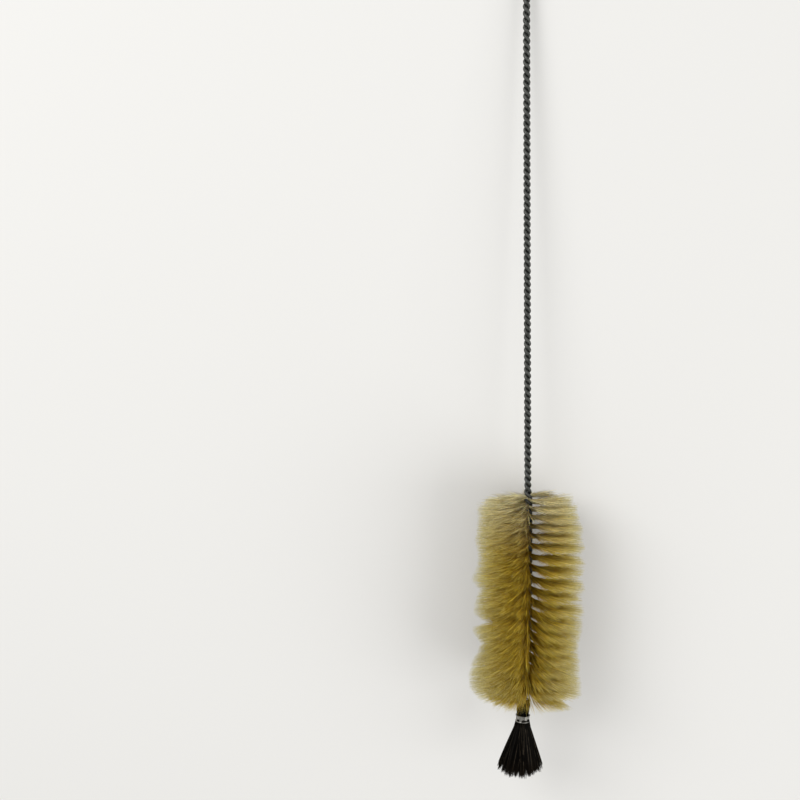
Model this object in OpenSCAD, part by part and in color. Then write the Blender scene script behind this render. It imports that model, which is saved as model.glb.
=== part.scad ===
// Twisted-in-wire bottle brush, lying as it comes to rest.
//
// One length of wire is bent double round a hanging eye, and its two halves are twisted
// together with a left-hand lay. They grip a double spiral of natural bristle and, at the tip,
// a folded tuft of stiff black hair that a thin metal ring binds. Every piece is drawn standing
// on its tip with the stem up Z, and lie_down() lays it along Y with the eye flat on the ground.

/* [Brush] */
// Length from the tuft's tip to the end of the eye
overall_l = 375.5; // [340:0.5:420]
// Angle by which use has bent the tip end sideways
tip_bend = 3.5; // [0:0.5:5]

/* [Wire] */
// Diameter of the wire
wire_d = 1.5; // [1.2:0.1:1.8]
// Length of one turn of the twist in the stem
stem_lay = 5.4; // [5.2:0.1:7]
// Length of one turn of the twist where it grips the bristles
head_lay = 9.6; // [8.5:0.1:10.5]
// Inner diameter of the hanging eye
eye_d = 18; // [14:1:24]

/* [Bristles] */
// Diameter of the bristle head
head_d = 44.5; // [36:0.5:52]
// Length of wire that holds bristles
head_l = 84.5; // [70:0.5:100]
// Thickness of the layer of bristles between the strands
fill_t = 0.5; // [0.3:0.1:0.8]
// How far the bristles' ends hang in the lower part of the head
droop = 6.5; // [0:0.5:8]
// Length of the rounding at the head's stem end
crown_l = 8; // [4:0.5:12]
// How much shorter the last bristles are at the stem end
crown_cut = 10; // [2:0.5:14]
// Length of the rounding at the head's tip end
nose_l = 7; // [4:0.5:12]
// How much shorter the last bristles are at the tip end
nose_cut = 8; // [2:0.5:14]
// Locks of bristles in one turn of a row
locks_per_turn = 14; // [12:0.5:20]

/* [Tip tuft] */
// Length of the tuft below its ring
tuft_l = 25.5; // [18:0.5:32]
// Diameter of the tuft's end
tuft_d = 20; // [12:0.5:24]
// Height of the folded hair above the ring
fold_l = 6.5; // [4:0.5:9]
// Length of bare wire between the folded hair and the bristles
bare_l = 4.5; // [3:0.5:8]
// Diameter over the ring's rims
ring_d = 6.1; // [6:0.1:8]
// Height of the ring
ring_h = 2.8; // [2:0.1:4]
// Wall of the ring
ring_t = 0.3; // [0.2:0.05:0.4]

/* [Hidden] */
$fn = 48;

// gap left between the two strands, and between the strands and what they grip
strand_gap = 0.05;
grip_gap = 0.12;
// gap round the wire's cut ends inside the tuft
socket_gap = 0.1;
// how far the ring's two rims stand out from its band
ring_lip = 0.18;
// share of the row spacing, and of each lock's sector, that bristles fill at the rim
row_fill = 0.8;
lock_fill = 0.84;
// share by which the shortest lock falls short of the longest
trim_loss = 0.04;
// power by which the twist tightens towards the stem
lay_ease = 4;
// shares of the head's turns below which bristles hang fully, and above which they stand straight
hung_to = 0.3;
straight_from = 0.8;
// length over which the strands open out to let the bristles in
spread_l = 2.5;
// distance from the eye's centre at which the twist ends, in radii of the eye
neck_ratio = 1.58;

// facets round the wire, and stops along one turn of its twist
wire_sides = 5;
wire_steps = 6;
wire_r = wire_d / 2;

// heights of the joints between the pieces, from the tuft's tip
ring_top = tuft_l + ring_h;
fold_top = ring_top + fold_l;
head_z = fold_top + bare_l;
stem_z = head_z + head_l;
wire_end_z = tuft_l + ring_h / 3;
eye_r = (eye_d + wire_d) / 2;
eye_z = overall_l - wire_r - eye_r;
twist_end_z = eye_z - neck_ratio * eye_r;
bend_z = head_z + head_l / 2;
bend_l = head_l / 3;

// turns of the twist in the tip, the head and the stem
tip_turns = (head_z - wire_end_z) / stem_lay;
head_turns = head_l / (head_lay - (head_lay - stem_lay) / (lay_ease + 1));
stem_turns = (twist_end_z - stem_z) / stem_lay;
all_turns = tip_turns + head_turns + stem_turns;

function unit(v) = v / norm(v);

function ease(x) = let (c = min(max(x, 0), 1)) c * c * (3 - 2 * c);

// Sideways place of the brush's axis at height z
function axis_x(z) =
    let (d = max(bend_z - z, 0))
    -tan(tip_bend) * (d < bend_l ? d * d / (2 * bend_l) : d - bend_l / 2);

// Height reached in the head after the share u of its turns
function head_height(u) =
    head_z + head_turns * (head_lay * u
        - (head_lay - stem_lay) * pow(u, lay_ease + 1) / (lay_ease + 1));

// Height of the twist, t turns from the wire's cut ends
function twist_z(t) =
    let (u = (t - tip_turns) / head_turns)
    u < 0 ? wire_end_z + t * stem_lay :
    u < 1 ? head_height(u) :
    stem_z + (u - 1) * head_turns * stem_lay;

// Direction of the first strand, which ends level with the eye
function twist_angle(t) = 360 * (all_turns - t);

// Distance of a strand's centre from the axis, wider where bristles part the strands
function strand_r(z) =
    let (away = max(head_z - z, z - stem_z, 0))
    wire_r + strand_gap / 2
        + (fill_t / 2 + grip_gap) * ease(1 - away / spread_l);

// Triangles of a skin over `rings` rings of `sides` points, with flat ends
function skin(rings, sides) = [
    for (i = [0 : rings - 2], k = [0 : sides - 1])
        let (a = i * sides + k, b = i * sides + (k + 1) % sides)
        each [[a, a + sides, b], [b, a + sides, b + sides]],
    for (k = [1 : sides - 2])
        let (last = (rings - 1) * sides)
        each [[0, k, k + 1], [last, last + k + 1, last + k]]
];

/* ---- wire ---- */

// A stop on the wire's route is its centre and the direction that faces inwards there
function strand_stop(t) =
    let (a = twist_angle(t), z = twist_z(t), out = [cos(a), sin(a), 0])
    [[axis_x(z), 0, z] + strand_r(z) * out, -out];

function eye_stop(a) =
    let (out = [cos(a), 0, sin(a)])
    [[0, 0, eye_z] + eye_r * out, -out];

// Cubic from the end of the twist to the eye's round part
function neck_stop(u) =
    let (a = strand_stop(all_turns), b = eye_stop(-45),
         pull = eye_r,
         along_a = pull * unit(a[0] - strand_stop(all_turns - 1 / wire_steps)[0]),
         along_b = pull * [sin(45), 0, cos(45)])
    [
        (1 + 2 * u) * pow(1 - u, 2) * a[0] + u * pow(1 - u, 2) * along_a
            + (3 - 2 * u) * u * u * b[0] - (1 - u) * u * u * along_b,
        unit((1 - u) * a[1] + u * b[1])
    ];

function half_turned(stop) = [for (v = stop) [-v.x, -v.y, v.z]];

function about_axis(stop) =
    let (shift = [axis_x(stop[0].z), 0, 0])
    [half_turned([stop[0] - shift])[0] + shift, half_turned([stop[1]])[0]];

strand_steps = ceil(all_turns * wire_steps);
neck_steps = 5;
eye_steps = 18;
first_strand = [
    for (i = [0 : strand_steps - 1]) strand_stop(all_turns * i / strand_steps),
    for (i = [0 : neck_steps - 1]) neck_stop(i / neck_steps)
];
last_stop = len(first_strand) - 1;
wire_route = [
    each first_strand,
    for (i = [0 : eye_steps]) eye_stop(-45 + 270 * i / eye_steps),
    for (i = [0 : last_stop]) about_axis(first_strand[last_stop - i])
];
wire_stops = len(wire_route);

// Section of the wire with a corner facing inwards. In the twist each section starts one corner
// on from the last, which keeps the facets nearly straight along the strand.
function wire_ring(i) =
    let (along = unit(wire_route[min(i + 1, wire_stops - 1)][0] - wire_route[max(i - 1, 0)][0]),
         inwards = wire_route[i][1],
         n = unit(inwards - (inwards * along) * along),
         b = cross(along, n),
         first = min(i, strand_steps) + max(i - wire_stops + strand_steps, 0))
    [for (k = [0 : wire_sides - 1])
        let (a = 360 * (first + k) / wire_sides)
        wire_route[i][0] + wire_r * (cos(a) * n + sin(a) * b)];

wire_points = [for (i = [0 : wire_stops - 1]) each wire_ring(i)];

module twisted_wire() {
    color([0.45, 0.46, 0.45])
        lie_down()
            polyhedron(wire_points, skin(wire_stops, wire_sides));
}

/* ---- bristles ---- */

lock_steps = ceil(head_turns * locks_per_turn);
lock_length = rands(1 - trim_loss, 1, 2 * lock_steps, 7);
root_r = 2 * wire_r;

// How far bristles hang, the share u of the way up the head
function hang(u) = droop * ease((straight_from - u) / (straight_from - hung_to));

// Radius of the trimmed head at height z
function head_r(z) =
    let (crown = min(max(z - stem_z + crown_l, 0) / crown_l, 1),
         nose = min(max(head_z - droop + nose_l - z, 0) / nose_l, 1))
    head_d / 2 - crown_cut * crown * crown - nose_cut * nose * nose;

// Section of the layer between the strands, the share u of the way up the head
function layer_ring(u) =
    let (z = head_height(u), a = twist_angle(tip_turns + u * head_turns),
         centre = [axis_x(z), 0, z],
         side = fill_t / 2 * [cos(a), sin(a), 0],
         out = root_r * [-sin(a), cos(a), 0])
    [centre + out + side, centre + side, centre - out + side,
     centre - out - side, centre - side, centre + out - side];

// The four outer corners of a lock: its trimmed end, seen from outside
function lock_end(i, way) =
    let (spare = (1 - lock_fill) / 2,
         length = lock_length[2 * i + (way > 0 ? 0 : 1)])
    [for (c = [[spare, -1], [spare, 1], [1 - spare, 1], [1 - spare, -1]])
        let (u = (i + c[0]) / lock_steps,
             a = twist_angle(tip_turns + u * head_turns),
             lay = head_lay - (head_lay - stem_lay) * pow(u, lay_ease),
             mid_z = head_height(u) - hang(u),
             r = length * head_r(mid_z),
             z = mid_z + c[1] * row_fill * lay / 4)
        [axis_x(z) - way * r * sin(a), way * r * cos(a), z]];

layer_points = [for (i = [0 : lock_steps]) each layer_ring(i / lock_steps)];
bristle_points = [
    each layer_points,
    for (i = [0 : lock_steps - 1], way = [1, -1]) each lock_end(i, way)
];

// Triangles of a lock that grows from the quad `root` of the layer to its own end
function lock_skin(root, end) = [
    for (k = [0 : 3])
        let (j = (k + 1) % 4)
        each [[root[k], end[k], root[j]], [root[j], end[k], end[j]]],
    [end[0], end[3], end[1]],
    [end[1], end[3], end[2]]
];

bristle_faces = [
    for (i = [0 : lock_steps - 1])
        let (a = 6 * i, b = a + 6,
             end = len(layer_points) + 8 * i)
        each [
            for (k = [0, 1, 3, 4])
                each [[a + k, a + k + 1, b + k + 1], [a + k, b + k + 1, b + k]],
            each lock_skin([a, a + 5, b + 5, b], [for (k = [0 : 3]) end + k]),
            each lock_skin([a + 3, a + 2, b + 2, b + 3], [for (k = [4 : 7]) end + k])
        ],
    for (t = [[0, 1, 5], [1, 4, 5], [1, 2, 4], [2, 3, 4]])
        let (last = 6 * lock_steps)
        each [[t[2], t[1], t[0]], [last + t[0], last + t[1], last + t[2]]]
];

module bristles() {
    color([0.72, 0.6, 0.36])
        lie_down()
            polyhedron(bristle_points, bristle_faces);
}

/* ---- tip tuft and its ring ---- */

band_r = ring_d / 2 - ring_lip;
neck_r = band_r - ring_t;
socket_r = strand_r(0) + wire_r + socket_gap;
tuft_sides = 24;
tuft_trim = rands(0, 1, tuft_sides, 3);

// Outline of the tuft as [radius, height, depth of its locks], from its socket to its tip
tuft_outline = [
    [socket_r, wire_end_z - wire_r, 0],
    [socket_r, fold_top - 1, 0],
    [(socket_r + neck_r) / 2, fold_top, 0.05],
    [neck_r * 1.12, fold_top - 1.6, 0.12],
    [neck_r, ring_top, 0],
    [neck_r, tuft_l, 0],
    [neck_r + (tuft_d / 2 - neck_r) * 0.28, tuft_l * 0.75, 0.08],
    [neck_r + (tuft_d / 2 - neck_r) * 0.68, tuft_l * 0.42, 0.12],
    [tuft_d / 2, tuft_l * 0.16, 0.16],
    [tuft_d / 3, tuft_l * 0.04, 0.1]
];

tuft_points = [
    [0, 0, tuft_outline[0][1]],
    for (p = tuft_outline, k = [0 : tuft_sides - 1])
        let (a = 360 * k / tuft_sides,
             r = p[0] * (1 - p[2] * (k % 2)),
             z = p[1] + (p[2] > 0.09 && p[1] < tuft_l ? tuft_trim[k] : 0))
        [r * cos(a), r * sin(a), z],
    [0, 0, 0]
];

tuft_faces = let (rings = len(tuft_outline), tip = rings * tuft_sides + 1) [
    for (k = [0 : tuft_sides - 1])
        let (j = (k + 1) % tuft_sides, last = tip - tuft_sides)
        each [[0, 1 + j, 1 + k], [last + k, last + j, tip]],
    for (i = [0 : rings - 2], k = [0 : tuft_sides - 1])
        let (j = (k + 1) % tuft_sides, a = 1 + i * tuft_sides)
        each [[a + k, a + j, a + tuft_sides + k],
              [a + j, a + tuft_sides + j, a + tuft_sides + k]]
];

module on_bent_tip() {
    translate([axis_x(tuft_l), 0, tuft_l])
        rotate([0, tip_bend, 0])
            translate([0, 0, -tuft_l])
                children();
}

module tip_tuft() {
    color([0.07, 0.06, 0.05])
        lie_down() on_bent_tip()
            polyhedron(tuft_points, tuft_faces);
}

// A band of thin tube with its two rims turned out a little
module tuft_ring() {
    rim_r = ring_d / 2;
    color([0.8, 0.8, 0.82])
        lie_down() on_bent_tip()
            rotate_extrude()
                polygon([
                    [neck_r, tuft_l],
                    [rim_r, tuft_l],
                    [rim_r, tuft_l + ring_lip],
                    [band_r, tuft_l + 2 * ring_lip],
                    [band_r, ring_top - 2 * ring_lip],
                    [rim_r, ring_top - ring_lip],
                    [rim_r, ring_top],
                    [neck_r, ring_top]
                ]);
}

/* ---- resting place ---- */

// The brush lies on the lowest lock of its head and on the far end of its eye
eye_drop = wire_r * sin(360 / wire_sides);
eye_end_z = overall_l - wire_r;
rest_tilt = max([for (p = bristle_points) atan((p.y - eye_drop) / (eye_end_z - p.z))]);

module lie_down() {
    lift = eye_drop * cos(rest_tilt) + (eye_end_z - overall_l / 2) * sin(rest_tilt);
    translate([0, 0, lift])
        rotate([-90 - rest_tilt, 0, 0])
            translate([0, 0, -overall_l / 2])
                children();
}

twisted_wire();
bristles();
tip_tuft();
tuft_ring();
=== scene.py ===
import math

import bpy
import mathutils
import numpy as np
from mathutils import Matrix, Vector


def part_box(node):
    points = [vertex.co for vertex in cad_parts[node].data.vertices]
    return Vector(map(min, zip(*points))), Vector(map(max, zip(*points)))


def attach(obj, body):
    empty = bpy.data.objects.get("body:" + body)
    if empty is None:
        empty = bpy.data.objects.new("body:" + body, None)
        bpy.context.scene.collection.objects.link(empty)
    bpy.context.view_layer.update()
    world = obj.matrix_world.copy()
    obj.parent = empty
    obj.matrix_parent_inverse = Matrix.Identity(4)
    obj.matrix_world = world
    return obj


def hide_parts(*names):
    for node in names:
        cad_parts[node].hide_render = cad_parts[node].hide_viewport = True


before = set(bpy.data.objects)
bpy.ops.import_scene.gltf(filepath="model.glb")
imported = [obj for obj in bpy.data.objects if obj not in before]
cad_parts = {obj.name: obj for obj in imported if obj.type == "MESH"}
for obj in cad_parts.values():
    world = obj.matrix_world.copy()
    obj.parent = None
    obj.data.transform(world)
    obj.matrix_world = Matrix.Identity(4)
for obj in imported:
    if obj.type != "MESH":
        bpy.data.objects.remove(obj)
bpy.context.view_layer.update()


# ---- the twisted wire ----
# One length of galvanised steel wire, bent double round the hanging eye. Its two halves are
# twisted together with a left-hand lay, loosely where they grip the bristles and tightly in the
# stem. Places are given on the standing brush: x sideways, y towards the ground, z up the stem
# from the tip of the tuft, and lying() lays them down as the brush comes to rest.

brush_l = 0.3755
wire_d = 0.0015
stem_lay = 0.0054
head_lay = 0.0096
head_z = 0.0393
head_l = 0.0845
wire_end_z = 0.02643
tip_bend = math.radians(3.5)
eye_r = 0.00975
eye_z = brush_l - wire_d / 2 - eye_r
neck_share = 1.58
twist_end_z = eye_z - neck_share * eye_r
lay_ease = 4
layer_t = 0.0005
grip_gap = 0.00012
strand_gap = 0.00002
spread_l = 0.0025
tuft_l = 0.0255
ring_h = 0.0028

tip_turns = (head_z - wire_end_z) / stem_lay
head_turns = head_l / (head_lay - (head_lay - stem_lay) / (lay_ease + 1))
stem_turns = (twist_end_z - head_z - head_l) / stem_lay
all_turns = tip_turns + head_turns + stem_turns


def twist_height(turns):
    """Height of the twist at so many turns from the wire's cut ends."""
    share = np.clip((turns - tip_turns) / head_turns, 0, 1)
    in_head = head_turns * (head_lay * share - (head_lay - stem_lay)
                            * share ** (lay_ease + 1) / (lay_ease + 1))
    below = np.minimum(turns, tip_turns) * stem_lay
    above = np.maximum(turns - tip_turns - head_turns, 0) * stem_lay
    return wire_end_z + below + in_head + above


turns_table = np.linspace(0, all_turns, 4000)
height_table = twist_height(turns_table)


def strand_angle(height):
    """Direction of the first strand at a height, in radians."""
    return 2 * math.pi * (all_turns - np.interp(height, height_table, turns_table))


def axis_x(height):
    """How far the bent tip carries the brush's axis sideways."""
    bend_z, bend_l = head_z + head_l / 2, head_l / 3
    past = np.maximum(bend_z - height, 0)
    drift = np.where(past < bend_l, past ** 2 / (2 * bend_l), past - bend_l / 2)
    return -math.tan(tip_bend) * drift


# The brush rests on its eye and on its head. The ring's height off the ground gives the tilt, and
# the eye's wire is five-sided in the solid, so it stands on a corner.
ring_low, ring_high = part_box("tuft_ring")
ring_z = tuft_l + ring_h / 2
eye_corner = math.radians(72)
eye_drop = wire_d / 2 * math.sin(eye_corner)
rest_tilt = math.asin(((ring_low.z + ring_high.z) / 2 - eye_drop)
                      / (brush_l - wire_d / 2 - ring_z))
rest_lift = (eye_drop * math.cos(rest_tilt)
             + (brush_l / 2 - wire_d / 2) * math.sin(rest_tilt))


def lying(places):
    """Places on the standing brush, laid down as the brush rests."""
    x, y, z = np.moveaxis(np.asarray(places, float), -1, 0)
    z = z - brush_l / 2
    cos, sin = math.cos(rest_tilt), math.sin(rest_tilt)
    return np.stack([x, z * cos - y * sin, rest_lift - y * cos - z * sin], -1)


def strand_route(half):
    """One half of the wire from its cut end to the top of the eye."""
    stops_per_turn = 16
    turns = np.linspace(0, all_turns, int(all_turns * stops_per_turn))
    z = twist_height(turns)
    away = np.maximum(np.maximum(head_z - z, z - head_z - head_l), 0)
    near = np.clip(1 - away / spread_l, 0, 1)
    r = wire_d / 2 + strand_gap / 2 + (layer_t / 2 + grip_gap) * near * near * (3 - 2 * near)
    angle = 2 * math.pi * (all_turns - turns)
    twist = np.stack([half * r * np.cos(angle), half * r * np.sin(angle), z], -1)
    twist[:, 0] += axis_x(z)
    start = twist[-1]
    leave = (twist[-1] - twist[-2]) / np.linalg.norm(twist[-1] - twist[-2]) * eye_r
    # The neck swings out from the last turn and meets the eye 45 degrees below its middle.
    low = -math.pi / 4
    meet = np.array([half * eye_r * math.cos(low), 0, eye_z + eye_r * math.sin(low)])
    arrive = np.array([half * math.sin(-low), 0, math.cos(low)]) * eye_r
    u = np.linspace(0, 1, 12)[1:-1, None]
    neck = ((1 + 2 * u) * (1 - u) ** 2 * start + u * (1 - u) ** 2 * leave
            + (3 - 2 * u) * u * u * meet - (1 - u) * u * u * arrive)
    round_part = np.linspace(low, math.pi / 2, 30)
    eye = np.stack([half * eye_r * np.cos(round_part), 0 * round_part,
                    eye_z + eye_r * np.sin(round_part)], -1)
    return np.concatenate([twist, neck, eye])


wire_route = np.concatenate([strand_route(1), strand_route(-1)[-2::-1]])
route_curve = bpy.data.curves.new("wire_route", "CURVE")
route_curve.dimensions = "3D"
route_curve.bevel_depth = wire_d / 2
route_curve.bevel_resolution = 3
route_curve.use_fill_caps = True
spline = route_curve.splines.new("POLY")
spline.points.add(len(wire_route) - 1)
route_points = np.column_stack([lying(wire_route), np.ones(len(wire_route))])
spline.points.foreach_set("co", route_points.ravel())
wire = bpy.data.objects.new("wire", route_curve)
bpy.context.collection.objects.link(wire)
bpy.ops.object.select_all(action="DESELECT")
bpy.context.view_layer.objects.active = wire
wire.select_set(True)
bpy.ops.object.convert(target="MESH")
bpy.ops.object.mode_set(mode="EDIT")
bpy.ops.mesh.select_all(action="SELECT")
bpy.ops.mesh.remove_doubles(threshold=1e-7)
bpy.ops.mesh.normals_make_consistent(inside=False)
bpy.ops.object.mode_set(mode="OBJECT")
bpy.ops.object.shade_smooth_by_angle(angle=math.radians(60))


def standing(places):
    """The way back from lying()."""
    x, y, z = np.moveaxis(np.asarray(places, float), -1, 0)
    z = z - rest_lift
    cos, sin = math.cos(rest_tilt), math.sin(rest_tilt)
    return np.stack([x, -y * sin - z * cos, y * cos - z * sin + brush_l / 2], -1)


# Painted shade: the wire is darkened in its grooves, near the axis of the twist, where shade
# falls.
wire_skin = np.empty(3 * len(wire.data.vertices))
wire.data.vertices.foreach_get("co", wire_skin)
wire_skin = standing(wire_skin.reshape(-1, 3))
from_axis = np.hypot(wire_skin[:, 0] - axis_x(wire_skin[:, 2]), wire_skin[:, 1])
unshaded_r = wire_d * 0.72
groove_shade_t = wire_d * 0.4
depth = np.clip((unshaded_r - from_axis) / groove_shade_t, 0, 1)
groove_shade_layer = wire.data.attributes.new("painted_groove_shade", "FLOAT", "POINT")
groove_shade_layer.data.foreach_set("value", np.where(wire_skin[:, 2] < twist_end_z, depth, 0))


def new_material(name):
    """An empty node material and its shader."""
    material = bpy.data.materials.new(name)
    material.use_nodes = True
    return material, material.node_tree, material.node_tree.nodes["Principled BSDF"]


# Dull zinc, mottled about every millimetre, and painted nearly black in the grooves as their
# shade.
galvanised, tree, steel = new_material("galvanised_wire")
place = tree.nodes.new("ShaderNodeTexCoord")
spangle = tree.nodes.new("ShaderNodeTexNoise")
spangle.inputs["Scale"].default_value = 900
spangle.inputs["Detail"].default_value = 4
grey = tree.nodes.new("ShaderNodeValToRGB")
grey.color_ramp.elements[0].position = 0.3
grey.color_ramp.elements[0].color = (0.04, 0.042, 0.038, 1)
grey.color_ramp.elements[1].position = 0.7
grey.color_ramp.elements[1].color = (0.13, 0.134, 0.124, 1)
groove_shade = tree.nodes.new("ShaderNodeAttribute")
groove_shade.attribute_name = "painted_groove_shade"
# The grooves' painted shade, nearly black.
shaded_grooves = tree.nodes.new("ShaderNodeMix")
shaded_grooves.data_type = "RGBA"
shaded_grooves.inputs["B"].default_value = (0.012, 0.013, 0.011, 1)
rough = tree.nodes.new("ShaderNodeMapRange")
rough.inputs["To Min"].default_value = 0.45
rough.inputs["To Max"].default_value = 0.62
bump = tree.nodes.new("ShaderNodeBump")
bump.inputs["Strength"].default_value = 0.25
bump.inputs["Distance"].default_value = 0.00005
tree.links.new(place.outputs["Object"], spangle.inputs["Vector"])
tree.links.new(spangle.outputs["Fac"], grey.inputs["Fac"])
tree.links.new(groove_shade.outputs["Fac"], shaded_grooves.inputs["Factor"])
tree.links.new(grey.outputs["Color"], shaded_grooves.inputs["A"])
tree.links.new(shaded_grooves.outputs["Result"], steel.inputs["Base Color"])
tree.links.new(spangle.outputs["Fac"], rough.inputs["Value"])
tree.links.new(rough.outputs["Result"], steel.inputs["Roughness"])
tree.links.new(spangle.outputs["Fac"], bump.inputs["Height"])
tree.links.new(bump.outputs["Normal"], steel.inputs["Normal"])
steel.inputs["Metallic"].default_value = 0.8
wire.data.materials.append(galvanised)
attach(wire, "root")
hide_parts("twisted_wire")


# ---- the bristles ----
# Natural bristle, golden in the middle and bleached at the ends. Each one passes between the two
# strands, which grip it in the middle, so the twist fans the bristles into two spiral rows. The
# head is trimmed round. One bristle is modelled, and its copies are bent along their own lines.

bpy.ops.object.select_all(action="DESELECT")
bpy.ops.mesh.primitive_cylinder_add(vertices=3, radius=1, depth=2, end_fill_type="NGON")
pattern = bpy.context.object
bpy.ops.object.mode_set(mode="EDIT")
for cut in (-0.6, -0.25, 0, 0.25, 0.6):
    bpy.ops.mesh.select_all(action="SELECT")
    bpy.ops.mesh.bisect(plane_co=(0, 0, cut), plane_no=(0, 0, 1))
bpy.ops.mesh.select_all(action="SELECT")
bpy.ops.mesh.quads_convert_to_tris()
bpy.ops.object.mode_set(mode="OBJECT")
end_taper = 0.75
bristle_points = np.array([v.co for v in pattern.data.vertices])
bristle_points[:, :2] *= 1 - end_taper * np.abs(bristle_points[:, 2:]) ** 4
bristle_faces = np.array([list(p.vertices) for p in pattern.data.polygons])
bpy.data.objects.remove(pattern)


def lay_hairs(name, points, faces, lines, thickness, shade, painted_top_light, tone_shift_and_painted_light, material):
    """A piece of many hairs, each bent along its own line, with its own shade and painted top
    light.

    `tone_shift_and_painted_light` says how far the colour of each hair's two ends goes towards a
    bleached end's, partly real bleaching and partly painted rim light.
    """
    count, stops, _ = lines.shape
    lines = lying(lines)
    # No hair goes into the ground.
    lines[..., 2] = np.maximum(lines[..., 2], thickness[:, None])
    at = (points[:, 2] + 1) / 2 * (stops - 1)
    first = np.minimum(at.astype(int), stops - 2)
    part = (at - first)[:, None]
    centre = lines[:, first] * (1 - part) + lines[:, first + 1] * part
    run = lines[:, first + 1] - lines[:, first]
    run /= np.linalg.norm(run, axis=2, keepdims=True)
    askew = [0.31, 0.17, 0.93]
    side = np.cross(run, askew)
    side /= np.linalg.norm(side, axis=2, keepdims=True)
    other = np.cross(run, side)
    reach = thickness[:, None, None] / 2
    skin = centre + reach * (points[:, 0, None] * side + points[:, 1, None] * other)
    mesh = bpy.data.meshes.new(name)
    corners = (faces[None] + len(points) * np.arange(count)[:, None, None]).reshape(-1, 3)
    mesh.vertices.add(count * len(points))
    mesh.vertices.foreach_set("co", skin.ravel())
    mesh.loops.add(corners.size)
    mesh.loops.foreach_set("vertex_index", corners.ravel())
    mesh.polygons.add(len(corners))
    mesh.polygons.foreach_set("loop_start", np.arange(0, corners.size, 3))
    mesh.polygons.foreach_set("use_smooth", np.ones(len(corners), bool))
    mesh.update(calc_edges=True)
    tone = mesh.attributes.new("hair_tone", "FLOAT_VECTOR", "POINT")
    tones = np.zeros((count, len(points), 3))
    tones[..., 0] = np.abs(points[:, 2]) * np.where(points[:, 2] < 0, tone_shift_and_painted_light[:, :1], tone_shift_and_painted_light[:, 1:])
    tones[..., 1] = shade[:, None]
    tones[..., 2] = painted_top_light[:, None]
    tone.data.foreach_set("vector", tones.ravel())
    hairs = bpy.data.objects.new(name, mesh)
    bpy.context.collection.objects.link(hairs)
    hairs.data.materials.append(material)
    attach(hairs, "root")
    return hairs


# Each bristle is golden near the wire and bleached at its ends, and has a shade of its own that
# shows less towards the ends. Those at the stem end are painted pale all along, as painted top
# light.
bristle, tree, fibre = new_material("natural_bristle")
tone = tree.nodes.new("ShaderNodeAttribute")
tone.attribute_name = "hair_tone"
split = tree.nodes.new("ShaderNodeSeparateXYZ")
length_colour = tree.nodes.new("ShaderNodeValToRGB")
ramp = length_colour.color_ramp
ramp.elements[0].position = 0.05
ramp.elements[0].color = (0.34, 0.19, 0.008, 1)
ramp.elements[1].position = 1
ramp.elements[1].color = (0.485, 0.417, 0.228, 1)
middle = ramp.elements.new(0.62)
middle.color = (0.375, 0.252, 0.028, 1)
outer = ramp.elements.new(0.82)
outer.color = (0.41, 0.315, 0.08, 1)
own_colour = tree.nodes.new("ShaderNodeValToRGB")
own_colour.color_ramp.elements[0].color = (0.05, 0.04, 0.04, 1)
own_colour.color_ramp.elements[0].position = 0.004
own_colour.color_ramp.elements[1].color = (2.4, 2.4, 2.3, 1)
dull = own_colour.color_ramp.elements.new(0.01)
dull.color = (0.6, 0.56, 0.5, 1)
plain = own_colour.color_ramp.elements.new(0.3)
plain.color = (0.76, 0.73, 0.7, 1)
fair = own_colour.color_ramp.elements.new(0.84)
fair.color = (1.15, 1.15, 1.12, 1)
light = own_colour.color_ramp.elements.new(0.92)
light.color = (1.9, 1.9, 1.8, 1)
# Painted top light: the stem-end bristles are mixed towards this pale colour.
tone_shift_and_painted_light = tree.nodes.new("ShaderNodeMix")
tone_shift_and_painted_light.data_type = "RGBA"
tone_shift_and_painted_light.inputs["B"].default_value = (0.535, 0.462, 0.262, 1)
blend = tree.nodes.new("ShaderNodeMix")
blend.data_type = "RGBA"
blend.blend_type = "MULTIPLY"
even_ends = tree.nodes.new("ShaderNodeMapRange")
even_ends.inputs["From Min"].default_value = 0.5
even_ends.inputs["To Min"].default_value = 1
even_ends.inputs["To Max"].default_value = 0.45
tree.links.new(tone.outputs["Vector"], split.inputs["Vector"])
tree.links.new(split.outputs["X"], length_colour.inputs["Fac"])
tree.links.new(split.outputs["Y"], own_colour.inputs["Fac"])
tree.links.new(split.outputs["Z"], tone_shift_and_painted_light.inputs["Factor"])
tree.links.new(length_colour.outputs["Color"], tone_shift_and_painted_light.inputs["A"])
tree.links.new(tone_shift_and_painted_light.outputs["Result"], blend.inputs["A"])
tree.links.new(own_colour.outputs["Color"], blend.inputs["B"])
tree.links.new(split.outputs["X"], even_ends.inputs["Value"])
tree.links.new(even_ends.outputs["Result"], blend.inputs["Factor"])
tree.links.new(blend.outputs["Result"], fibre.inputs["Base Color"])
fibre.inputs["Roughness"].default_value = 0.55
fibre.inputs["Specular IOR Level"].default_value = 0.04
fibre.inputs["Subsurface Weight"].default_value = 0.6
fibre.inputs["Subsurface Radius"].default_value = (1, 0.8, 0.4)
fibre.inputs["Subsurface Scale"].default_value = 0.0002

seed = np.random.default_rng(11)
bristle_count = 21000
head_r = 0.02225
crown_l = 0.008
crown_cut = 0.010
droop = 0.0065
slant = 0.0015
nose_l = 0.007
nose_cut = 0.008
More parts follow.
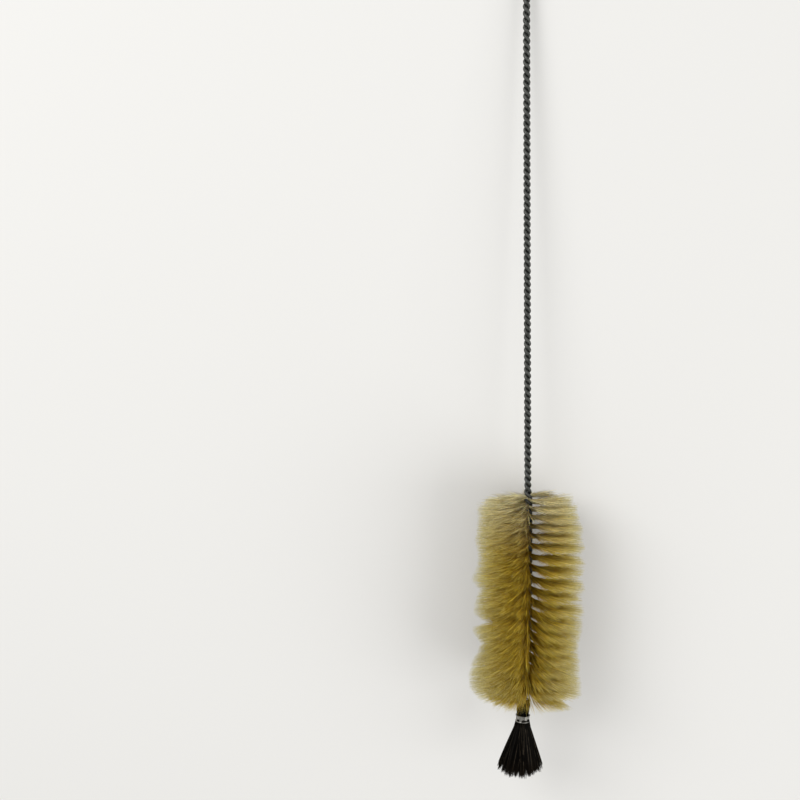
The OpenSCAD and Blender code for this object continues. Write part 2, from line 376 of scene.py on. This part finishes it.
# Use has pressed the head's two sides uneven: the heights of its hollows, and how much longer or
# shorter the bristles are there. The hollows slant, nearer the stem on the upper side.
worn_z = np.array([28, 30.3, 33.5, 36, 38, 41, 46, 52, 57, 60, 64, 67, 69.5, 73, 77, 80, 82, 84,
                   88, 94, 97, 101, 105, 108, 115, 118, 121, 124]) / 1000
worn_left = np.array([-4, -3, -2, -1, 0.5, 2.2, 2.8, 1.7, -0.7, -2, 0.9, 2.6, -3.2, 1.3, 1.2,
                      0.2, -0.6, -1, 2.4, -0.1, -0.6, -0.4, 0.6, -0.2, -0.8, 0, 0.5, 0]) / 1000
worn_right = np.array([-1, 3.5, -1.5, 2, 2, 1.9, 0.6, 0.6, -0.5, 0, 0.9, 1.5, 0.9, 1.7, 1.2,
                       0.5, 2.2, 2, 0.8, 2.5, 0.3, 2.1, 0.8, 1.5, -0.6, -0.5, 1, 1.5]) / 1000
hollow_slope = 0.3
# A narrow furrow on each side, where many of the bristles are worn short.
left_furrow_z = 0.0685
left_furrow_w = 0.0022
right_furrow_z = 0.077
right_furrow_w = 0.0009
furrow_side = 0.35
# How locks and single bristles stray: their lean round the wire in radians, their gathering
# towards the lock's middle, their spread along the wire, their uneven trim and their bow.
lock_lean = 0.04
hair_lean = 0.03
lock_gather = 0.3
left_spread = 0.0016
right_spread = 0.0009
side_spread = 0.0006
lock_trim = 0.0003
hair_trim = 0.0008
lock_bow = 0.0002
hair_bow = 0.00012
# The bristles part along the upper side of the wire, most of them widely.
wide_parting = 0.25
slight_parting = 0.03
parting_w = 0.35
top_w = 0.5
short_share = 0.15
short_bleach = 0.92
grip_z = np.sort(head_z + head_l * seed.random(bristle_count))
grip_angle = strand_angle(grip_z) + math.pi / 2
grip_offset = (seed.random(bristle_count) - 0.5) * layer_t
share = (np.interp(grip_z, height_table, turns_table) - tip_turns) / head_turns
droop_end = 0.8
droop_fade = 0.5
least_hang = 0.0005
fade = np.clip((droop_end - share) / droop_fade, 0, 1)
usual_hang = least_hang + droop * fade * fade * (3 - 2 * fade)
bristle_stops = 15
v = np.linspace(-1, 1, bristle_stops)[None]
ends = []
for way in (-1, 1):
    # Bristles gather in locks of one to four, which meet near their ends.
    lock_ends = np.cumsum(seed.integers(1, 5, bristle_count))
    lock = np.searchsorted(lock_ends, np.arange(bristle_count), side="right")
    locks = lock.max() + 1
    size = np.bincount(lock, minlength=locks)
    lock_angle = np.bincount(lock, grip_angle, locks) / size
    lean = seed.normal(0, lock_lean, locks)[lock] + lock_gather * (lock_angle[lock] - grip_angle)
    lean = lean + seed.normal(0, hair_lean, bristle_count)
    from_top = np.arctan2(way * np.cos(grip_angle + lean), -way * np.sin(grip_angle + lean))
    part_by = np.where(seed.random(bristle_count) < 0.6, wide_parting, slight_parting)
    part_by = part_by * np.clip((share - 0.05) / 0.15, 0, 1)
    lean = lean + part_by * np.sign(from_top) * np.exp(-np.abs(from_top) / parting_w)
    east = way * np.cos(grip_angle + lean)
    stray = way * slant * share * np.sin(grip_angle)
    # Towards the stem, the rows on the right keep closer together, with clear gaps between them.
    apart = 1 - 0.3 * np.clip((share - 0.4) / 0.2, 0, 1) * np.clip((0.95 - share) / 0.05, 0, 1)
    spread = np.where(east > 0, (right_spread + side_spread * east ** 2) * apart, left_spread)
    wander = seed.normal(0, 0.5, locks)[lock] + seed.normal(0, 0.9, bristle_count)
    stray = stray + spread * wander
    end_z = grip_z - usual_hang
    tip_z = end_z - stray - hollow_slope * head_r * np.cos(from_top)
    # The head's two ends are trimmed round, its crown towards the stem and its nose at the tuft.
    crown = np.clip((end_z - head_z - head_l + crown_l) / crown_l, 0, 1)
    nose = np.clip((head_z - droop + nose_l - end_z) / nose_l, 0, 1)
    trim = np.abs(seed.normal(0, lock_trim, locks)[lock])
    trim = trim + np.abs(seed.normal(0, hair_trim, bristle_count))
    wear = np.where(east > 0, np.interp(tip_z, worn_z, worn_right),
                    np.interp(tip_z, worn_z, worn_left))
    reach = head_r + wear * np.abs(east) - crown_cut * crown ** 2 - nose_cut * nose ** 2 - trim
    furrow = np.where(east > 0, 1 - np.abs(tip_z - right_furrow_z) / right_furrow_w,
                      1 - np.abs(tip_z - left_furrow_z) / left_furrow_w)
    furrow = np.clip(furrow, 0, 1) * (np.abs(east) > furrow_side)
    reach = reach * (1 - furrow * np.clip(seed.uniform(-0.1, 0.55, bristle_count), 0, 1))
    # Most bristles just to the right of the wire, above and below it, have broken off close to it,
    # and so have some of those on top at both ends of the head.
    thin = np.clip(east / 0.1 + 0.5, 0, 1) * np.clip((0.47 + 0.09 * share - east) / 0.3, 0, 1)
    thin = thin * np.clip(0.5 + 1.4 * share, 0, 0.94)
    thin = thin * np.clip((share - 0.15) / 0.08, 0, 1) * np.clip((0.99 - share) / 0.05, 0, 1)
    on_top = np.abs(from_top) < top_w
    thin = np.maximum(thin, on_top * np.clip((share - 0.91) / 0.03, 0, 1))
    thin = np.maximum(thin, on_top * np.clip((0.075 - share) / 0.03, 0, 0.6))
    broken = seed.random(bristle_count) < thin
    reach = np.where(broken, reach * seed.uniform(0.05, 0.18, bristle_count), reach)
    bow = seed.normal(0, lock_bow, (locks, 2))[lock]
    bow = bow + seed.normal(0, hair_bow, (bristle_count, 2))
    # Painted rim light: the ends that stand to the left and right are painted paler than those
    # that point up and down.
    pale_and_painted_rim_light = np.clip(reach / head_r, 0, 1)
    pale_and_painted_rim_light = pale_and_painted_rim_light * (1 - 0.6 * (1 - np.abs(east)) * np.clip(share / 0.3, 0, 1))
    # Some bristles are short of the rim, and their ends are as bleached as the rest.
    short = (seed.random(bristle_count) < short_share) & ~broken
    reach = np.where(short, reach * seed.uniform(0.5, 0.92, bristle_count), reach)
    pale_and_painted_rim_light = np.where(short, short_bleach, pale_and_painted_rim_light)
    ends.append((lean, stray, reach, bow, pale_and_painted_rim_light))
lean, stray, reach = (np.where(v < 0, ends[0][k][:, None], ends[1][k][:, None])
                      for k in range(3))
bow_a = np.where(v < 0, ends[0][3][:, :1], ends[1][3][:, :1])
bow_z = np.where(v < 0, ends[0][3][:, 1:], ends[1][3][:, 1:])
out = np.abs(v)
r = reach * v
angle = grip_angle[:, None] + lean * out ** 0.5
swell = 4 * out * (1 - out)
x = r * np.cos(angle) + (grip_offset[:, None] + bow_a * swell) * np.sin(grip_angle)[:, None]
y = r * np.sin(angle) - (grip_offset[:, None] + bow_a * swell) * np.cos(grip_angle)[:, None]
rise = out * reach / head_r
z = grip_z[:, None] - usual_hang[:, None] * (1 - (1 - rise) ** 2) - stray * rise + bow_z * swell
lines = np.stack([x + axis_x(grip_z)[:, None], y, z], -1)
own = np.where(seed.random(bristle_count) < 0.6, seed.random(locks)[lock],
               seed.random(bristle_count))
# A few bristles are black, and these and the lightest ones are thicker than the rest.
black_shade = 0.004
black_count = 30
own[own < black_shade] += 0.02
own[seed.integers(0, bristle_count, black_count)] = 0.001
bristle_d = 0.00011
thick = bristle_d * (0.7 + 0.6 * seed.random(bristle_count))
thick = thick + 0.00007 * (own > 0.9) + 0.00014 * (own < 0.006)
# Painted top light: the bristles at the stem end of the head are painted paler.
painted_top_light_l = 0.025
painted_top_light = np.clip((grip_z - head_z - head_l + painted_top_light_l) / painted_top_light_l, 0, 1) ** 1.5
pale_and_painted_rim_light = np.stack([ends[0][4], ends[1][4]], -1)
bands = 5
for band in range(bands):
    part = slice(band * bristle_count // bands, (band + 1) * bristle_count // bands)
    hairs = lay_hairs(f"bristles_{band + 1}", bristle_points, bristle_faces, lines[part],
                      thick[part], own[part], painted_top_light[part], pale_and_painted_rim_light[part], bristle)
    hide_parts("bristles")


# ---- the tip tuft ----
# Stiff black hair, folded over the wire's end. The folds stand above the ring as small loops,
# and below it the two halves fan out into a blunt cone.

# Black hair, some of it brown, and a little browner towards its worn ends.
black_hair, tree, fibre = new_material("black_hair")
tone = tree.nodes.new("ShaderNodeAttribute")
tone.attribute_name = "hair_tone"
split = tree.nodes.new("ShaderNodeSeparateXYZ")
own_colour = tree.nodes.new("ShaderNodeValToRGB")
own_colour.color_ramp.elements[0].position = 0.75
own_colour.color_ramp.elements[0].color = (0.003, 0.0025, 0.002, 1)
own_colour.color_ramp.elements[1].color = (0.1, 0.08, 0.055, 1)
brown = own_colour.color_ramp.elements.new(0.92)
brown.color = (0.011, 0.008, 0.005, 1)
tree.links.new(tone.outputs["Vector"], split.inputs["Vector"])
tree.links.new(split.outputs["Y"], own_colour.inputs["Fac"])
worn_end = tree.nodes.new("ShaderNodeMapRange")
worn_end.inputs["From Min"].default_value = 0.45
worn_end.inputs["To Max"].default_value = 0.5
browned = tree.nodes.new("ShaderNodeMix")
browned.data_type = "RGBA"
browned.inputs["B"].default_value = (0.015, 0.01, 0.0055, 1)
tree.links.new(split.outputs["X"], worn_end.inputs["Value"])
tree.links.new(worn_end.outputs["Result"], browned.inputs["Factor"])
tree.links.new(own_colour.outputs["Color"], browned.inputs["A"])
tree.links.new(browned.outputs["Result"], fibre.inputs["Base Color"])
fibre.inputs["Roughness"].default_value = 0.5
fibre.inputs["Specular IOR Level"].default_value = 0.04

tuft_r = 0.012
neck_r = 0.0026
root_l = 0.002
tuft_hair_d = 0.00017
tuft_count = 3400
tuft_locks = 80
seed = np.random.default_rng(5)
lock = seed.integers(0, tuft_locks, tuft_count)
lock_spot = np.sqrt((np.arange(tuft_locks) + 0.5) / tuft_locks)
lock_way = np.arange(tuft_locks) * math.pi * (3 - math.sqrt(5)) + seed.normal(0, 0.1, tuft_locks)
lock_x = lock_spot * np.cos(lock_way)
lock_y = lock_spot * np.sin(lock_way)
stray = seed.normal(0, 0.15, (tuft_count, 2))
v = np.linspace(0, 1, 7)[None]
gather = 1 - 0.78 * v ** 1.5
x = lock_x[lock][:, None] + stray[:, :1] * gather
y = lock_y[lock][:, None] + stray[:, 1:] * gather
spot = np.hypot(x, y)
x = x / np.maximum(spot, 1)
y = y / np.maximum(spot, 1)
spot = np.minimum(spot, 1)
cut = np.abs(seed.normal(0, 0.03, tuft_locks))[lock]
cut = cut + np.abs(seed.normal(0, 0.05, tuft_count))
hair_l = tuft_l * (1 - 0.2 * lock_spot[lock] ** 2) * (1 - cut)
z = tuft_l + root_l - (hair_l + root_l)[:, None] * v
flare = np.clip((tuft_l - z) / tuft_l, 0, 1)
r = neck_r + (tuft_r - neck_r) * flare
x = x * r + axis_x(tuft_l) + (z - tuft_l) * math.tan(tip_bend)
y = y * r
hairs = lay_hairs("tuft_hair", bristle_points, bristle_faces, np.stack([x, y, z], -1),
                  np.full(tuft_count, tuft_hair_d), seed.random(tuft_count), np.zeros(tuft_count),
                  np.tile((0.0, 1.0), (tuft_count, 1)), black_hair)
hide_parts("tip_tuft")

# Each fold is a loop that leaves the ring, bows out and comes back beside its start.
fold_count = 150
fold_hair_d = 0.00025
fold_foot_r = 0.0022
turn = seed.random(fold_count) * 2 * math.pi
fold_h = 0.0068 * (0.6 + 0.75 * seed.random(fold_count))
out = 0.0017 + 0.0012 * seed.random(fold_count)
arch = np.linspace(0, math.pi, 9)[None]
reach = fold_foot_r + (out - fold_foot_r)[:, None] * np.sin(arch)
swing = turn[:, None] + 0.55 * np.cos(arch) * (0.6 + 0.6 * seed.random(fold_count))[:, None]
z = tuft_l + 0.0012 + fold_h[:, None] * np.sin(arch)
x = reach * np.cos(swing) + axis_x(tuft_l) + (z - tuft_l) * math.tan(tip_bend)
y = reach * np.sin(swing)
folds = lay_hairs("tuft_folds", bristle_points, bristle_faces, np.stack([x, y, z], -1),
                  np.full(fold_count, fold_hair_d), seed.random(fold_count), np.zeros(fold_count),
                  np.zeros((fold_count, 2)), black_hair)


# ---- the tuft's ring ----
# A short band of thin bright tube with rolled rims, pushed over the folded hair and squeezed
# tight, so that it is a little out of round and its band is dimpled.

bright_tin, tree, tin = new_material("bright_tin")
place = tree.nodes.new("ShaderNodeTexCoord")
scuff = tree.nodes.new("ShaderNodeTexNoise")
scuff.inputs["Scale"].default_value = 900
scuff.inputs["Detail"].default_value = 5
rough = tree.nodes.new("ShaderNodeMapRange")
rough.inputs["To Min"].default_value = 0.18
rough.inputs["To Max"].default_value = 0.45
tarnish = tree.nodes.new("ShaderNodeValToRGB")
tarnish.color_ramp.elements[0].position = 0.35
tarnish.color_ramp.elements[0].color = (0.12, 0.115, 0.1, 1)
tarnish.color_ramp.elements[1].position = 0.7
tarnish.color_ramp.elements[1].color = (0.36, 0.35, 0.32, 1)
tree.links.new(place.outputs["Object"], scuff.inputs["Vector"])
tree.links.new(scuff.outputs["Fac"], rough.inputs["Value"])
tree.links.new(scuff.outputs["Fac"], tarnish.inputs["Fac"])
tree.links.new(rough.outputs["Result"], tin.inputs["Roughness"])
tree.links.new(tarnish.outputs["Color"], tin.inputs["Base Color"])
tin.inputs["Metallic"].default_value = 0.75

band_r = 0.00287
ring_t = 0.0003
rim_out = 0.00018
dimple = 0.00007
dimple_count = 7
out_of_round = 0.012
bpy.ops.object.select_all(action="DESELECT")
bpy.ops.mesh.primitive_cylinder_add(vertices=48, radius=band_r, depth=ring_h,
                                    end_fill_type="NOTHING")
ring = bpy.context.object
ring.name = "ring"
bpy.ops.object.mode_set(mode="EDIT")
for cut in (-0.42, -0.3, -0.1, 0.1, 0.3, 0.42):
    bpy.ops.mesh.select_all(action="SELECT")
    bpy.ops.mesh.bisect(plane_co=(0, 0, cut * ring_h), plane_no=(0, 0, 1))
bpy.ops.object.mode_set(mode="OBJECT")
for point in ring.data.vertices:
    up_share = point.co.z / ring_h
    round_way = math.atan2(point.co.y, point.co.x)
    grow = rim_out if abs(up_share) > 0.38 else 0
    if abs(up_share) < 0.35:
        grow = -dimple * (1 + math.sin(dimple_count * round_way + 3 * up_share))
    point.co.x *= 1 + grow / band_r + out_of_round * math.cos(2 * round_way)
    point.co.y *= 1 + grow / band_r
skin = ring.modifiers.new("wall", "SOLIDIFY")
skin.thickness = ring_t
skin.offset = -1
bpy.ops.object.modifier_apply(modifier="wall")
edge = ring.modifiers.new("edge", "BEVEL")
edge.width = 0.00006
edge.segments = 2
edge.limit_method = "ANGLE"
bpy.ops.object.modifier_apply(modifier="edge")
bpy.ops.object.shade_smooth_by_angle(angle=math.radians(50))
for point in ring.data.vertices:
    z = tuft_l + ring_h / 2 + point.co.z
    tilt_x = point.co.x * math.cos(tip_bend) + axis_x(z)
    point.co = lying([tilt_x, point.co.y, z - point.co.x * math.sin(tip_bend)])
ring.data.materials.append(bright_tin)
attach(ring, "root")
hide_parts("tuft_ring")


# ---- the studio ----
# A pale floor that the brush lies on, soft light from above and a camera over the brush.

bpy.ops.object.select_all(action="DESELECT")
bpy.ops.mesh.primitive_plane_add(size=6, location=(0, 0, -0.0002))
floor = bpy.context.object
floor.name = "floor"
paper, tree, sheet = new_material("pale_paper")
sheet.inputs["Base Color"].default_value = (0.66, 0.655, 0.64, 1)
sheet.inputs["Roughness"].default_value = 0.9
sheet.inputs["Emission Color"].default_value = (1, 0.97, 0.88, 1)
# The floor glows faintly to the camera and in reflections, and lights nothing by it.
seen = tree.nodes.new("ShaderNodeLightPath")
mirrored = tree.nodes.new("ShaderNodeMath")
mirrored.operation = "MAXIMUM"
through = tree.nodes.new("ShaderNodeMath")
through.operation = "MAXIMUM"
glow = tree.nodes.new("ShaderNodeMath")
glow.operation = "MULTIPLY"
glow.inputs[1].default_value = 0.12
tree.links.new(seen.outputs["Is Camera Ray"], mirrored.inputs[0])
tree.links.new(seen.outputs["Is Glossy Ray"], mirrored.inputs[1])
tree.links.new(mirrored.outputs["Value"], through.inputs[0])
tree.links.new(seen.outputs["Is Transmission Ray"], through.inputs[1])
tree.links.new(through.outputs["Value"], glow.inputs[0])
tree.links.new(glow.outputs["Value"], sheet.inputs["Emission Strength"])
floor.data.materials.append(paper)


def soft_lamp(name, place, size, power):
    """A square lamp that faces the middle of the brush."""
    data = bpy.data.lights.new(name, "AREA")
    data.energy = power
    data.size = size
    lamp = bpy.data.objects.new(name, data)
    bpy.context.collection.objects.link(lamp)
    lamp.location = place
    lamp.rotation_euler = (-lamp.location).to_track_quat("-Z", "Y").to_euler()


soft_lamp("key_light", (-0.7, 0.6, 0.9), 0.8, 9.5)
soft_lamp("fill_light", (0.9, -0.4, 0.8), 1.0, 7)
world = bpy.data.worlds.new("studio")
world.use_nodes = True
world.node_tree.nodes["Background"].inputs["Color"].default_value = (1, 1, 1, 1)
world.node_tree.nodes["Background"].inputs["Strength"].default_value = 0.55
bpy.context.scene.world = world

# The camera looks square on to the stem at a point far up it and down along the head.
frame_px = 800
focal_px = 1769
horizon_px = 90
distance = 0.718
level_z = 0.2908
aside = 0.0526
pitch = math.atan((frame_px / 2 - horizon_px) / focal_px)
roll = math.radians(-0.88)
stem_way = np.array([0, math.cos(rest_tilt), -math.sin(rest_tilt)])
up_way = np.array([0, math.sin(rest_tilt), math.cos(rest_tilt)])
sight = -up_way * math.cos(pitch) - stem_way * math.sin(pitch)
head_up = stem_way * math.cos(pitch) - up_way * math.sin(pitch)
right = np.array([1, 0, 0])
right, head_up = (right * math.cos(roll) + head_up * math.sin(roll),
                  head_up * math.cos(roll) - right * math.sin(roll))
camera_data = bpy.data.cameras.new("camera")
camera_data.sensor_width = 36
camera_data.lens = 36 * focal_px / frame_px
camera_data.clip_start = 0.01
camera = bpy.data.objects.new("camera", camera_data)
bpy.context.collection.objects.link(camera)
spot = lying([-aside, 0, level_z]) + up_way * distance
turn = mathutils.Matrix([[right[i], head_up[i], -sight[i]] for i in range(3)])
camera.matrix_world = mathutils.Matrix.Translation(spot) @ turn.to_4x4()
bpy.context.scene.camera = camera
bpy.context.scene.view_settings.view_transform = "Standard"
